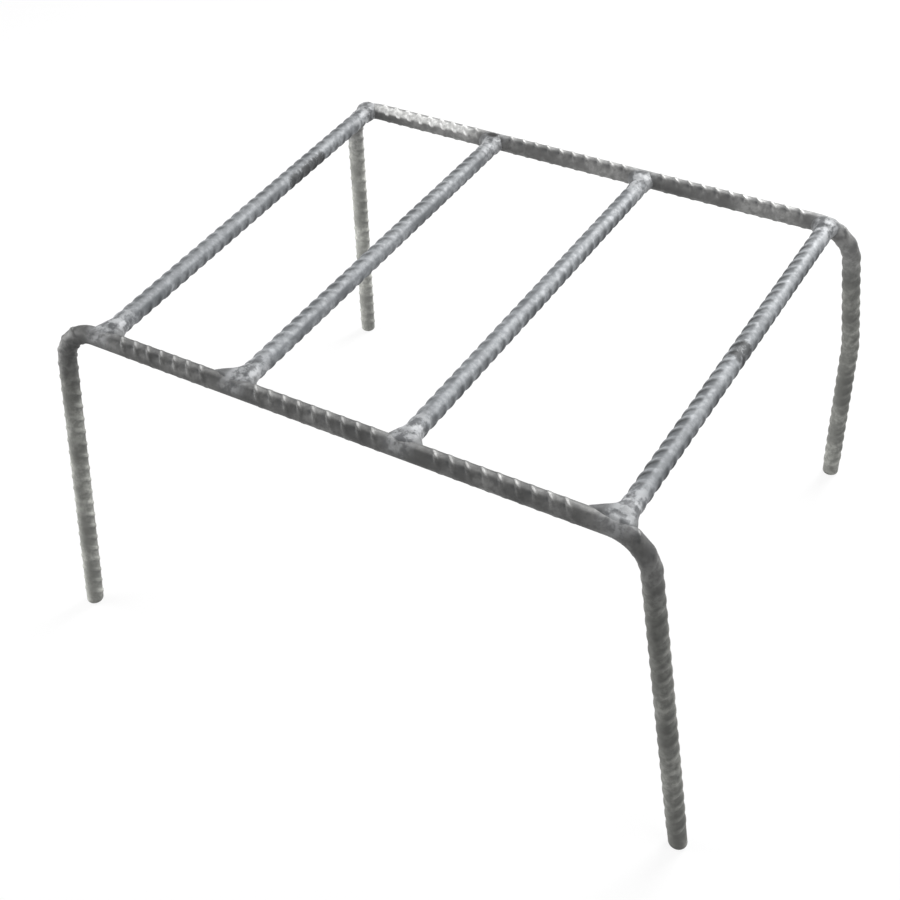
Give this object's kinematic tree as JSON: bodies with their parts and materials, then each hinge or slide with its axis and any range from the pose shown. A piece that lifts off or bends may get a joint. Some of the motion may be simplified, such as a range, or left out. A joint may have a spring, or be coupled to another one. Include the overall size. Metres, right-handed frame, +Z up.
{
  "type": "welded rebar stand",
  "caption": "Low four-legged stand welded from ribbed reinforcing bar: two bent stirrup bars form rails and legs, joined by straight cross bars, to hold steel or a load off the ground.",
  "frame": {"origin": "on the floor, at the middle of the stand's plan box", "axes": "+X along the rails, +Y from the front bar to the rear bar, +Z up"},
  "size_m": [0.3969, 0.3381, 0.2015],
  "materials": {
    "stirrup_steel": "hot-rolled steel with dull dark mill scale",
    "cross_bar_steel": "hot-rolled steel, lighter blue-grey scale",
    "weld_metal": "bare weld metal, dull grey with dark burn"
  },
  "bodies": {
    "root": {"front_stirrup": "stirrup_steel", "rear_stirrup": "stirrup_steel", "cross_bar_1": "cross_bar_steel", "cross_bar_2": "cross_bar_steel", "cross_bar_3": "cross_bar_steel", "cross_bar_4": "cross_bar_steel", "front_weld_1": "weld_metal", "front_weld_2": "weld_metal", "front_weld_3": "weld_metal", "front_weld_4": "weld_metal", "rear_weld_1": "weld_metal", "rear_weld_2": "weld_metal", "rear_weld_3": "weld_metal", "rear_weld_4": "weld_metal"}
  },
  "joints": []
}
